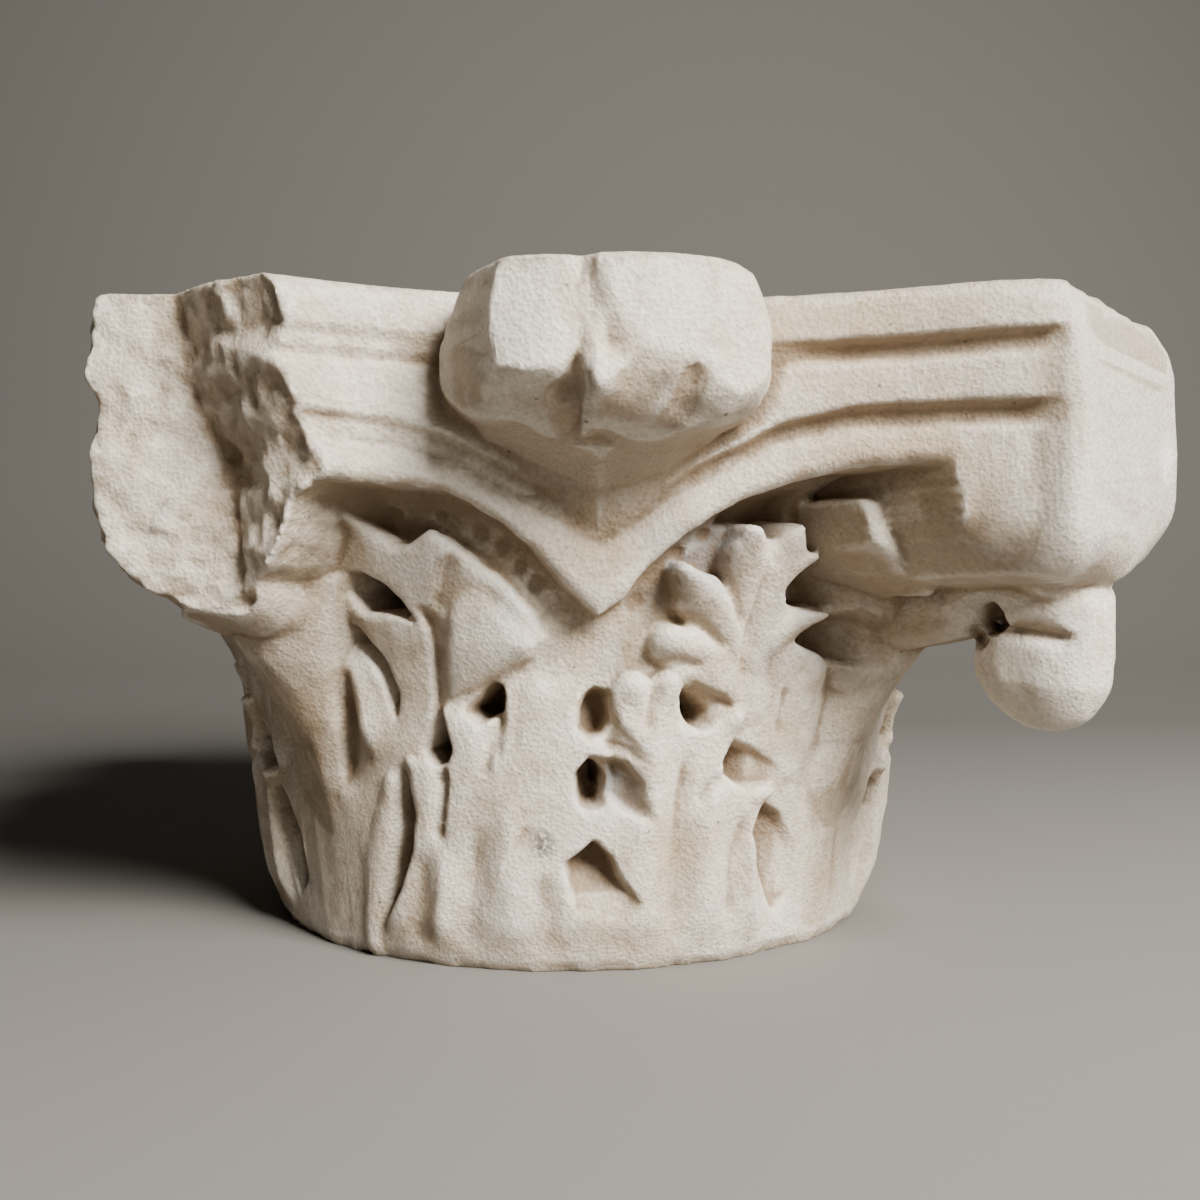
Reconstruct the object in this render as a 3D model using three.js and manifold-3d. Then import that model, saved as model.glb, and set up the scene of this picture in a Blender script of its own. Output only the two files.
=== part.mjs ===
// A small marble capital of the Corinthian order, carved from one block.
// A round bell wears two rows of acanthus leaves and four plain corner leaves. Above it lies a square
// abacus with hollow sides, two grooves, a boss on each side and a horn at each corner, and a volute
// hangs under each horn. The front left horn and its volute are broken away.
// Millimetres, +Z up, the front looks along -Y. The origin is the centre of the lower bed.
import * as THREE from 'three';
import { mergeVertices } from 'three/addons/utils/BufferGeometryUtils.js';
import Module from 'manifold-3d';

const wasm = await Module();
wasm.setup();

// Driving dimensions
const HEIGHT = 176; // lower bed to upper bed
const BED_RADIUS = 97.5; // lower bed, which sits on the shaft
const CORE_WAIST = 89; // radius of the bare bell behind the leaves, where it is slimmest
const CORE_WAIST_Z = 45;
const CORE_TOP = 108; // radius of the bare bell under the lip

// Abacus
const FACE_MID = 129; // axis to the middle of a hollow side
const HORN_REACH = 190; // axis to the end of a horn
const HORN_WIDTH = 79; // width of a horn's cut end
const FASCIA_HEIGHT = 14; // top band
const BAND_HEIGHT = 12; // middle band
const GROOVE_HEIGHT = 4;
const GROOVE_DEPTH = 4;
const BAND_INSET = 3; // how far the middle band stands behind the fascia
const LIP_INSET = 7; // how far the lip stands behind the fascia
const LIP_HEIGHT = 12; // the lip, away from its swag
const SWAG_DROP = 34; // the lip dips by this at the middle of each side
const SWAG_HALF_WIDTH = 60;
const WEAR = 2.5; // rounding of the abacus's worn top edge

// Boss and the tapered console under it
const BOSS_HALF_WIDTH = 37;
const BOSS_HEIGHT = 40;
const BOSS_REACH = 170; // axis to the front of the boss
const WORN_BOSS_REACH = 149; // the left boss, which has lost its front
const BOSS_BEVEL = 7;
const CONSOLE_REACH = 150; // axis to the console's front edge, under the boss
const CONSOLE_TIP_REACH = 124;

// Leaves. The girth of the leaves is measured along a circle of this radius.
const GIRTH_RADIUS = 105;
const LEAF_ROOT = 78; // radius that the leaves' backs reach, inside the bell
const LOWER_LEAF_GIRTH = 30; // middle of a lower leaf, from the middle of its side of the capital
const LOWER_LEAF_HEIGHT = 82;
const LOWER_LEAF_OUT = 1.5; // how far it stands out from the lower bed at its foot
const LOWER_LEAF_LEAN = 12; // how much further its tip stands out
const UPPER_LEAF_GIRTH = 40;
const UPPER_LEAF_BASE = 40;
const UPPER_LEAF_TOP = 119;
const UPPER_LEAF_RADIUS = 101;
const UPPER_LEAF_LEAN = 20;
const LOBE_LIFT = 8; // how far a lobe's point is lifted above its root
const CORNER_LEAF_FOOT = 25; // half-width along the girth
const CORNER_LEAF_NECK = 10; // half-width at its top, where the volute's arm takes over
const CORNER_LEAF_HEIGHT = 124;
const CORNER_LEAF_LEAN = 62;

// Volutes, measured in the upright plane through a corner
const CURL_REACH = 166; // axis to the eye of the curl
const CURL_Z = 85;
const CURL_RADIUS = 17.5;
const CURL_WIDTH = 21;
const CURL_DRILL = 4; // radius of the drilled hole beside the curl
const ARM_ROOT_REACH = 134; // axis to where the arm leaves the lip
const ARM_DEPTH = 34;
const BLOCK_REACH = 152; // axis to the inner side of the block over the volute

// Drilled holes
const DRILL_RADIUS = 3.6;
const DRILL_FLOOR = 82; // the drill stops at this radius

// Break at the front left corner
const BREAK_FRONT = 74; // where the front face stops, from the middle
const BREAK_FACE = 115; // axis to the broken face that looks forward
const BREAK_SIDE = 127; // axis to its left edge
const BREAK_FLOOR = 99; // lowest point of the break
const BREAK_SLOPE = 0.35; // how steeply its floor falls outward
const BREAK_ROUGHNESS = 2.2;

const SIDES = 4;
const CORNER_ANGLE = Math.PI / SIDES;
const LIP_TOP = HEIGHT - FASCIA_HEIGHT - BAND_HEIGHT - 2 * GROOVE_HEIGHT;
const LIP_BOTTOM = LIP_TOP - LIP_HEIGHT;
const FAR = 2 * HORN_REACH; // beyond the block, for cutters

// Solids: three.js geometry in, solids for joining and cutting, and back again
function solid(geometry) {
  const bare = geometry.clone();
  bare.deleteAttribute('normal');
  bare.deleteAttribute('uv');
  const merged = mergeVertices(bare, 1e-4);
  return new wasm.Manifold(
    new wasm.Mesh({
      numProp: 3,
      vertProperties: merged.attributes.position.array,
      triVerts: new Uint32Array(merged.index.array),
    }),
  );
}

function joined(solids) {
  return solids.reduce((whole, piece) => whole.add(piece));
}

function geometryOf(manifold) {
  const mesh = manifold.getMesh();
  const geometry = new THREE.BufferGeometry();
  geometry.setAttribute('position', new THREE.BufferAttribute(new Float32Array(mesh.vertProperties), 3));
  geometry.setIndex(new THREE.BufferAttribute(new Uint32Array(mesh.triVerts), 1));
  const faceted = geometry.toNonIndexed();
  faceted.computeVertexNormals();
  return faceted;
}

// A closed body between two sheets. front(a, b) and back(a, b) give points, with a across from -1 to 1
// and b up from 0 to 1. Seen from the front, a runs to the right.
function between(front, back, columns, rows) {
  const positions = [];
  const index = [];
  const at = (sheet, i, j) => (sheet * (rows + 1) + j) * (columns + 1) + i;
  for (const sheet of [front, back]) {
    for (let j = 0; j <= rows; j++) {
      for (let i = 0; i <= columns; i++) {
        const p = sheet((2 * i) / columns - 1, j / rows);
        positions.push(p.x, p.y, p.z);
      }
    }
  }
  const quad = (p, q, r, s) => index.push(p, q, r, p, r, s);
  for (let j = 0; j < rows; j++) {
    for (let i = 0; i < columns; i++) {
      quad(at(0, i, j), at(0, i + 1, j), at(0, i + 1, j + 1), at(0, i, j + 1));
      quad(at(1, i, j), at(1, i, j + 1), at(1, i + 1, j + 1), at(1, i + 1, j));
    }
    quad(at(0, 0, j), at(0, 0, j + 1), at(1, 0, j + 1), at(1, 0, j));
    quad(at(0, columns, j), at(1, columns, j), at(1, columns, j + 1), at(0, columns, j + 1));
  }
  for (let i = 0; i < columns; i++) {
    quad(at(0, i, 0), at(1, i, 0), at(1, i + 1, 0), at(0, i + 1, 0));
    quad(at(0, i, rows), at(0, i + 1, rows), at(1, i + 1, rows), at(1, i, rows));
  }
  const geometry = new THREE.BufferGeometry();
  geometry.setAttribute('position', new THREE.Float32BufferAttribute(positions, 3));
  geometry.setIndex(index);
  return geometry;
}

// A point at an angle from the front, positive to the right, at a radius and a height
function polar(angle, radius, z) {
  return new THREE.Vector3(radius * Math.sin(angle), -radius * Math.cos(angle), z);
}

function turned(geometry, angle) {
  return geometry.clone().rotateZ(angle);
}

// Bell: the bare core behind the leaves
function bell() {
  const profile = new THREE.SplineCurve([
    new THREE.Vector2(BED_RADIUS, 0),
    new THREE.Vector2(CORE_WAIST, CORE_WAIST_Z),
    new THREE.Vector2((CORE_WAIST + CORE_TOP) / 2, (CORE_WAIST_Z + LIP_BOTTOM) / 2),
    new THREE.Vector2(CORE_TOP, LIP_BOTTOM),
  ]);
  const points = [new THREE.Vector2(0, 0), ...profile.getPoints(5)];
  points.push(new THREE.Vector2(CORE_TOP, LIP_TOP), new THREE.Vector2(0, LIP_TOP));
  return new THREE.LatheGeometry(points, 32).rotateX(Math.PI / 2);
}

// Abacus: its plan has hollow sides and cut horns
function plan(inset) {
  const middle = (HORN_REACH - inset) / Math.SQRT2;
  const half = HORN_WIDTH / 2 / Math.SQRT2;
  const end = middle + half;
  const start = middle - half;
  const bow = 2 * (FACE_MID - inset) - end; // control point that puts the curve's middle on FACE_MID
  const shape = new THREE.Shape();
  shape.moveTo(-start, -end);
  shape.quadraticCurveTo(0, -bow, start, -end);
  shape.lineTo(end, -start);
  shape.quadraticCurveTo(bow, 0, end, start);
  shape.lineTo(start, end);
  shape.quadraticCurveTo(0, bow, -start, end);
  shape.lineTo(-end, start);
  shape.quadraticCurveTo(-bow, 0, -end, -start);
  shape.closePath();
  return shape;
}

function layer(inset, bottom, top) {
  const slab = new THREE.ExtrudeGeometry(plan(inset), {
    depth: top - bottom,
    bevelEnabled: false,
    curveSegments: 8,
  });
  return slab.translate(0, 0, bottom);
}

// Fascia, groove, middle band and groove, from the upper bed down, with a worn top edge
function abacus() {
  const fasciaBottom = HEIGHT - FASCIA_HEIGHT;
  const bandTop = fasciaBottom - GROOVE_HEIGHT;
  const bandBottom = bandTop - BAND_HEIGHT;
  return joined([
    solid(layer(WEAR, HEIGHT - WEAR, HEIGHT)),
    solid(layer(0, fasciaBottom, HEIGHT - WEAR)),
    solid(layer(GROOVE_DEPTH, bandTop, fasciaBottom)),
    solid(layer(BAND_INSET, bandBottom, bandTop)),
    solid(layer(BAND_INSET + GROOVE_DEPTH, LIP_TOP, bandBottom)),
  ]);
}

// Height of the lip's lower edge at a distance from the middle of its side
function lipLow(x) {
  return LIP_BOTTOM - SWAG_DROP * Math.max(0, 1 - Math.abs(x) / SWAG_HALF_WIDTH) ** 2.2;
}

// Lip of the bell: it follows the abacus and dips to a point at the middle of each side
function lips() {
  const half = HORN_REACH / Math.SQRT2;
  const steps = 12;
  const shape = new THREE.Shape();
  shape.moveTo(-half, LIP_TOP);
  shape.lineTo(-half, LIP_BOTTOM);
  for (let i = 0; i <= steps; i++) {
    const x = SWAG_HALF_WIDTH * ((2 * i) / steps - 1);
    shape.lineTo(x, lipLow(x));
  }
  shape.lineTo(half, LIP_BOTTOM);
  shape.lineTo(half, LIP_TOP);
  shape.closePath();
  const board = new THREE.ExtrudeGeometry(shape, { depth: HORN_REACH, bevelEnabled: false });
  board.rotateX(Math.PI / 2);
  const boards = [];
  for (let side = 0; side < SIDES; side++) {
    boards.push(solid(turned(board, side * 2 * CORNER_ANGLE)));
  }
  const body = solid(layer(LIP_INSET, LIP_BOTTOM - SWAG_DROP - 1, LIP_TOP));
  return joined(boards).intersect(body);
}

// Boss: a loaf that is widest below its middle. Its top lies in the upper bed.
const BOSS_OUTLINE = [
  [0.55, 0.05],
  [0.93, 0.16],
  [1, 0.3],
  [0.96, 0.55],
  [0.84, 0.82],
  [0.62, 1],
];

function boss(reach) {
  const shape = new THREE.Shape();
  const half = BOSS_HALF_WIDTH - BOSS_BEVEL;
  const low = HEIGHT - BOSS_HEIGHT + BOSS_BEVEL;
  const tall = BOSS_HEIGHT - BOSS_BEVEL;
  shape.moveTo(0, low);
  for (const [across, up] of BOSS_OUTLINE) shape.lineTo(across * half, low + up * tall);
  for (const [across, up] of BOSS_OUTLINE.toReversed()) shape.lineTo(-across * half, low + up * tall);
  shape.closePath();
  const loaf = new THREE.ExtrudeGeometry(shape, {
    depth: reach - 2 * BOSS_BEVEL - CORE_WAIST,
    bevelThickness: BOSS_BEVEL,
    bevelSize: BOSS_BEVEL,
    bevelSegments: 2,
  });
  loaf.rotateX(Math.PI / 2).translate(0, -CORE_WAIST - BOSS_BEVEL, 0);
  const room = new THREE.BoxGeometry(FAR, FAR, HEIGHT).translate(0, 0, HEIGHT / 2);
  return solid(loaf).intersect(solid(room));
}

// Console: the boss runs down and back to a point on the lip
function consolePiece() {
  const top = HEIGHT - BOSS_HEIGHT + BOSS_BEVEL;
  const tip = LIP_TOP - 26;
  const front = (a, b) => {
    const half = 1 + BOSS_HALF_WIDTH * 0.95 * Math.min(1, 1.3 * b);
    const reach = CONSOLE_TIP_REACH + (CONSOLE_REACH - CONSOLE_TIP_REACH) * b ** 1.5;
    return new THREE.Vector3(a * half, -reach + 9 * a * a * b, tip + (top - tip) * b);
  };
  const back = (a, b) => {
    const p = front(a, b);
    return new THREE.Vector3(p.x, -CORE_WAIST, p.z);
  };
  return solid(between(front, back, 6, 6));
}

// Leaves. A margin is the half-width at rising heights, as shares of the leaf's own size:
// each lobe runs out to a point and drops back to a notch.
const LOWER_MARGIN = [
  [1.14, 0],
  [1.1, 0.2],
  [0.86, 0.34],
  [1.1, 0.47],
  [0.82, 0.51],
  [0.84, 0.6],
  [1.1, 0.69],
  [0.6, 0.72],
  [0.54, 0.79],
  [0.7, 0.88],
  [0.38, 0.9],
  [0.2, 1],
];
const LOWER_LEAF_HALF = 27;
const UPPER_MARGIN = [
  [0.55, 0],
  [0.5, 0.35],
  [0.66, 0.5],
  [1.0, 0.63],
  [0.56, 0.67],
  [0.52, 0.75],
  [0.84, 0.86],
  [0.42, 0.89],
  [0.4, 0.95],
  [0.16, 1],
];
const UPPER_LEAF_HALF = 25;

// A leaf on the bell: its rows follow the margin and rise towards their ends, its face is crowned,
// with a sunk midrib, and its tip leans out from the bell
function leaf({ margin, half, base, top, girth, radius, lean, crown }) {
  const rows = margin.length - 1;
  const point = (a, b, out) => {
    const [width, rise] = margin[Math.round(b * rows)];
    const lift = LOBE_LIFT * rise * (a * width) ** 2;
    const z = base + (top - base) * rise + lift;
    return polar((girth + a * width * half) / GIRTH_RADIUS, out(a, rise), Math.min(z, top));
  };
  const face = (a, rise) => {
    const fall = crown * (a * a) ** 1.2;
    const midrib = crown * 0.35 * Math.exp(-((a / 0.16) ** 2));
    return radius + lean * rise ** 2 - fall - midrib;
  };
  const front = (a, b) => point(a, b, face);
  const back = (a, b) => point(a, b, () => LEAF_ROOT);
  return between(front, back, 4, rows);
}

function leaves() {
  const pieces = [];
  const lower = leaf({
    margin: LOWER_MARGIN,
    half: LOWER_LEAF_HALF,
    base: 0,
    top: LOWER_LEAF_HEIGHT,
    girth: LOWER_LEAF_GIRTH,
    radius: BED_RADIUS + LOWER_LEAF_OUT,
    lean: LOWER_LEAF_LEAN,
    crown: 4,
  });
  const upper = leaf({
    margin: UPPER_MARGIN,
    half: UPPER_LEAF_HALF,
    base: UPPER_LEAF_BASE,
    top: UPPER_LEAF_TOP,
    girth: UPPER_LEAF_GIRTH,
    radius: UPPER_LEAF_RADIUS,
    lean: UPPER_LEAF_LEAN,
    crown: 4.5,
  });
  const pairAngle = { lower: (2 * LOWER_LEAF_GIRTH) / GIRTH_RADIUS, upper: (2 * UPPER_LEAF_GIRTH) / GIRTH_RADIUS };
  for (let side = 0; side < SIDES; side++) {
    const facing = side * 2 * CORNER_ANGLE;
    pieces.push(solid(turned(lower, facing)), solid(turned(lower, facing - pairAngle.lower)));
    pieces.push(solid(turned(upper, facing)), solid(turned(upper, facing - pairAngle.upper)));
  }
  return joined(pieces);
}

// Corner leaf: plain and smooth, it flares out to carry the horn
function cornerLeaf() {
  const at = (a, b, out) => {
    const half = CORNER_LEAF_FOOT + (CORNER_LEAF_NECK - CORNER_LEAF_FOOT) * b ** 1.3;
    return polar(CORNER_ANGLE + (a * half) / GIRTH_RADIUS, out, CORNER_LEAF_HEIGHT * b);
  };
  const front = (a, b) => {
    const out = BED_RADIUS + 3 * b + CORNER_LEAF_LEAN * b ** 1.9;
    const fall = (5 + 12 * b * b) * (a * a) ** 1.2;
    return at(a, b, out - fall);
  };
  const back = (a, b) => at(a, b, LEAF_ROOT);
  return between(front, back, 6, 7);
}

// An outline in the upright plane through the front right corner, made as thick as it is told
function cornerBoard(shape, width, bevel) {
  const board = new THREE.ExtrudeGeometry(shape, {
    depth: width - 2 * bevel,
    bevelEnabled: bevel > 0,
    bevelThickness: bevel,
    bevelSize: bevel,
    bevelSegments: 1,
    curveSegments: 10,
  });
  board.rotateX(Math.PI / 2).translate(0, width / 2 - bevel, 0);
  return board.rotateZ(-CORNER_ANGLE);
}

// Horn block: the plain mass at the end of a horn, which narrows down to the volute
function hornBlock() {
  const foot = CURL_Z + CURL_RADIUS;
  const top = HEIGHT - WEAR;
  const swell = (b) => Math.min(1, b / 0.36) ** 0.7;
  const half = (b) => CURL_WIDTH / 2 + (HORN_WIDTH / 2 - CURL_WIDTH / 2) * swell(b);
  const at = (a, b, reach) => new THREE.Vector3(a * half(b), -reach, foot + (top - foot) * b);
  const front = (a, b) => {
    const reach = CURL_REACH + CURL_RADIUS * 0.7;
    return at(a, b, reach + (HORN_REACH - reach) * swell(b));
  };
  const back = (a, b) => at(a, b, BLOCK_REACH + 12 * (1 - Math.min(1, b / 0.2)));
  return solid(between(front, back, 4, 8).rotateZ(CORNER_ANGLE));
}

// Volute: an arm from under the lip that ends in a drooping curl, with a drilled hole beside it
function volute() {
  const shape = new THREE.Shape();
  const bevel = 4;
  const r = CURL_RADIUS - bevel;
  shape.moveTo(ARM_ROOT_REACH - 26, LIP_BOTTOM + bevel);
  shape.lineTo(ARM_ROOT_REACH - 26, LIP_BOTTOM - ARM_DEPTH);
  shape.lineTo(CURL_REACH - r - 10, CURL_Z + 13);
  shape.lineTo(CURL_REACH - 5, CURL_Z + 7);
  shape.lineTo(CURL_REACH - r, CURL_Z + 1);
  shape.absarc(CURL_REACH, CURL_Z, r, Math.PI, 2.1 * Math.PI, false);
  shape.lineTo(CURL_REACH + r - 6, CURL_Z + 22);
  shape.lineTo(ARM_ROOT_REACH + 18, LIP_BOTTOM - 13);
  shape.lineTo(ARM_ROOT_REACH + 2, LIP_BOTTOM + bevel);
  shape.closePath();
  const hook = solid(cornerBoard(shape, CURL_WIDTH, bevel));
  const drill = new THREE.CylinderGeometry(CURL_DRILL, CURL_DRILL, 2 * CURL_WIDTH, 8);
  drill.translate(CURL_REACH - r - 1, 0, CURL_Z + 10).rotateZ(-CORNER_ANGLE);
  return hook.subtract(solid(drill));
}

// Drilled holes of one side, as girth and height, where leaves meet: the carver drilled these first
// and cut the lobes between them
const DRILLED = [
  [0, 29],
  [0, 51],
  [0, 70],
  [-30, 73],
  [30, 73],
  [-44, 60],
  [44, 60],
  [-62, 104],
  [62, 104],
  [-64, 86],
  [64, 86],
];

function drills(angle) {
  const bit = new THREE.CylinderGeometry(DRILL_RADIUS, DRILL_RADIUS, DRILL_FLOOR, 6);
  bit.translate(0, -1.5 * DRILL_FLOOR, 0);
  return DRILLED.map(([girth, z]) =>
    solid(bit.clone().rotateZ(girth / GIRTH_RADIUS + angle).translate(0, 0, z)),
  );
}

// Break: a rough surface that takes off the front left horn. It runs back from the front face, turns
// to face forward, and turns back again along the left side.
function breakAway() {
  const low = BREAK_FLOOR;
  const high = HEIGHT + 5;
  const path = (a, b) => {
    const slant = 26 * b; // the first edge runs outward as it rises
    const corners = [
      new THREE.Vector2(-BREAK_FRONT + 6 - 4 * b, -HORN_REACH),
      new THREE.Vector2(-BREAK_FRONT + 4 - 4 * b, -FACE_MID - 9),
      new THREE.Vector2(-BREAK_FRONT - 5 - slant, -BREAK_FACE - 2 * b),
      new THREE.Vector2(-BREAK_SIDE, -BREAK_FACE),
      new THREE.Vector2(-BREAK_SIDE - 16, -BREAK_FACE / 2),
      new THREE.Vector2(-HORN_REACH, -BREAK_FACE / 2 + 20),
    ];
    const t = ((a + 1) / 2) * (corners.length - 1);
    const i = Math.min(Math.floor(t), corners.length - 2);
    return corners[i].clone().lerp(corners[i + 1], t - i);
  };
  const broken = (a, b) => {
    const p = path(-a, b);
    const rough = BREAK_ROUGHNESS * Math.sin(9.1 * a + 5.3 * b) * Math.sin(4.7 * b - 6.2 * a + 1);
    return new THREE.Vector3(p.x + rough, p.y - rough, low + (high - low) * b + 6 * (1 - b) * (1 - a) / 2);
  };
  const outside = (a, b) => {
    const p = path(-a, b);
    const floor = low - BREAK_SLOPE * FAR * Math.SQRT2;
    return new THREE.Vector3(p.x - FAR, p.y - FAR, floor + (high - floor) * b);
  };
  return solid(between(outside, broken, 15, 8));
}

function capital() {
  const pieces = [solid(bell()), abacus(), lips(), leaves()];
  for (let side = 0; side < SIDES; side++) {
    const angle = (side * 360) / SIDES;
    const reach = side === SIDES - 1 ? WORN_BOSS_REACH : BOSS_REACH;
    pieces.push(boss(reach).rotate([0, 0, angle]), consolePiece().rotate([0, 0, angle]));
    pieces.push(solid(turned(cornerLeaf(), (angle * Math.PI) / 180)));
    pieces.push(hornBlock().rotate([0, 0, angle]));
    const broken = side === SIDES - 1; // the front left corner
    if (!broken) pieces.push(volute().rotate([0, 0, angle]));
  }
  let body = joined(pieces);
  for (let side = 0; side < SIDES; side++) {
    body = body.subtract(joined(drills(side * 2 * CORNER_ANGLE)));
  }
  return body.subtract(breakAway());
}

const marble = new THREE.MeshStandardMaterial({ color: 0xd9cdbd, roughness: 0.62, metalness: 0 });
const mesh = new THREE.Mesh(geometryOf(capital()), marble);
mesh.name = 'capital';

const group = new THREE.Group();
group.add(mesh);

export default group;
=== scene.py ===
import bpy
import numpy as np
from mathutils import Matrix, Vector


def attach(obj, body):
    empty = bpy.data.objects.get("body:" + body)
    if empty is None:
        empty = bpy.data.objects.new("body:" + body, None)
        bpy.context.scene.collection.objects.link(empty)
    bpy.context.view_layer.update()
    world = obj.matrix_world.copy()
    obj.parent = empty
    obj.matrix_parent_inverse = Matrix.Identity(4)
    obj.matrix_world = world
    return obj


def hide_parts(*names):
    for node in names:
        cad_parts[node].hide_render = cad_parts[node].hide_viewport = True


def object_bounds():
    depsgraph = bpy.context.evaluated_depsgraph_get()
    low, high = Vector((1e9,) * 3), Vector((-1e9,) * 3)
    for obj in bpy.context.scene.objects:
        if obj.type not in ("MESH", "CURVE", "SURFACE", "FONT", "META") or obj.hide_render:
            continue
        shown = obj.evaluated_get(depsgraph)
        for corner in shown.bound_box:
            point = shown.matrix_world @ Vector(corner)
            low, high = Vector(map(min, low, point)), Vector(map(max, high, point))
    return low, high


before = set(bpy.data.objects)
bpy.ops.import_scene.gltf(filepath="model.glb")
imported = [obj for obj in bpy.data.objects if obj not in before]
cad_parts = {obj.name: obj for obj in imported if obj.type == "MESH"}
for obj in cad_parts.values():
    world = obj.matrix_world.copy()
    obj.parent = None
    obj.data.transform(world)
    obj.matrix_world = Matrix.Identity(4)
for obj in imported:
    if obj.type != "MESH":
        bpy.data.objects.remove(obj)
cad_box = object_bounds()

# The bell of the capital: the round core of the marble block, 195 mm across where it sat on its
# column. Between the leaves the carver sank it with drill and flat chisel and left it rough.
HEIGHT = 176.0
GIRTH = 105.0
SIDE_COLUMNS = 400
ROWS = 441

side_angle = (np.arange(SIDE_COLUMNS) / SIDE_COLUMNS - 0.5) * np.pi / 2
level = np.linspace(0.0, HEIGHT, ROWS)
ANGLE, Z = np.meshgrid(side_angle, level)


def through(x, *points):
    """Value at x on straight lines between the given points, and level outside them."""
    at, value = np.array(points, float).T
    return np.interp(x, at, value)


def eased(x, low, high):
    """0 below low, 1 above high, and 3t^2 - 2t^3 between."""
    t = np.clip((x - low) / (high - low), 0.0, 1.0)
    return t * t * (3.0 - 2.0 * t)


def bell_face(z):
    """How far the bell reaches from the axis at a height: straight lines between measured heights."""
    return through(
        z, (0, 99), (20, 101.5), (40, 104), (60, 107), (75, 109.5), (85, 111), (95, 112.5), (110, 115),
        (126, 118), (176, 119),
    )


class Side:
    """One side of the capital unrolled: s mm to the right of its middle, measured on a circle of radius
    GIRTH, z mm up, and r, how far the stone reaches from the axis."""

    def __init__(self):
        self.s = GIRTH * ANGLE
        self.r = bell_face(Z)

    def mirrored(self):
        """Turns left and right around, so that the same carving can be repeated the other way."""
        self.s = -self.s
        return self

    def near(self, path, widths):
        """For every point, its distance from a bent line as a share of the line's half-width there, how far
        along the line its nearest point is, from 0 to 1, and 1 where it lies on the line's left."""
        share = np.full(self.s.shape, np.inf)
        along, left = np.zeros(self.s.shape), np.zeros(self.s.shape)
        parts = len(path) - 1
        widths = np.broadcast_to(widths, len(path))
        for k in range(parts):
            (s0, z0), (s1, z1) = path[k], path[k + 1]
            ds, dz = s1 - s0, z1 - z0
            t = np.clip(((self.s - s0) * ds + (Z - z0) * dz) / (ds * ds + dz * dz), 0.0, 1.0)
            width = widths[k] + (widths[k + 1] - widths[k]) * t
            here = np.hypot(self.s - s0 - t * ds, Z - z0 - t * dz) / width
            nearer = here < share - 1e-9
            along = np.where(nearer, (k + t) / parts, along)
            left = np.where(nearer, ds * (Z - z0) - dz * (self.s - s0) > 0, left)
            share = np.where(nearer, here, share)
        return share, along, left

    def within(self, outline):
        """Distance of every point from a closed outline, positive inside it."""
        share, _, _ = self.near(outline + outline[:1], 1.0)
        inside = np.zeros(self.s.shape, bool)
        for (s0, z0), (s1, z1) in zip(outline, outline[1:] + outline[:1]):
            crosses = (z0 > Z) != (z1 > Z)
            inside ^= crosses & (self.s < (s1 - s0) * (Z - z0) / (z1 - z0 + 1e-9) + s0)
        return np.where(inside, share, -share)

    def plate(self, face, outline, edge):
        """Stone left standing inside an outline up to a face, its edge rounded off over the given width:
        face - edge * (1 - sqrt(1 - (1 - d / edge)^2))."""
        d = self.within(outline)
        bend = 1.0 - np.clip(d / edge, 0.0, 1.0)
        top = face(Z) - edge * (1.0 - np.sqrt(np.clip(1.0 - bend**2, 0.0, 1.0)))
        self.r = np.where(d > 0, np.maximum(self.r, top), self.r)

    def lobe(self, face, path, widths, lift=0.0, droop=5.0, tip=0.0, power=2.0):
        """A rounded lobe on the face of its leaf: face + lift - droop * (1 - sqrt(1 - share^power)),
        and its far end leans out by tip."""
        share, along, _ = self.near(path, widths)
        dome = np.sqrt(np.clip(1.0 - share**power, 0.0, 1.0))
        top = face(Z) + lift + tip * along**2 - droop * (1.0 - dome)
        self.r = np.where(share < 1.0, np.maximum(self.r, top), self.r)

    def cut(self, outline, depth, wall=1.6):
        """A hole with the given outline, sunk by depth with walls that take up the given width."""
        d = self.within(outline)
        self.r = self.r - depth * eased(d, -0.5 * wall, 0.8 * wall)

    def flank(self, path, width, depth):
        """A fold: on the left of the way the line runs the stone drops by depth within 0.9 mm and rises
        again as depth * (1 - share)^1.5, and on its right it stays, so that the line is a crisp edge."""
        share, along, left = self.near(path, width)
        ends = eased(np.minimum(along, 1.0 - along), 0.0, 0.2)
        fall = np.clip(1.0 - share, 0.0, 1.0) ** 1.5 * eased(share * width, 0.0, 0.9)
        self.r = self.r - depth * ends * left * fall

    def groove(self, path, widths, depth):
        """A furrow of the given depth with the section exp(-2 share^2), fading out at both ends; a negative
        depth makes a rib."""
        share, along, _ = self.near(path, widths)
        ends = eased(np.minimum(along, 1.0 - along), 0.0, 0.25)
        self.r = self.r - depth * ends * np.exp(-2.0 * share**2)


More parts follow.
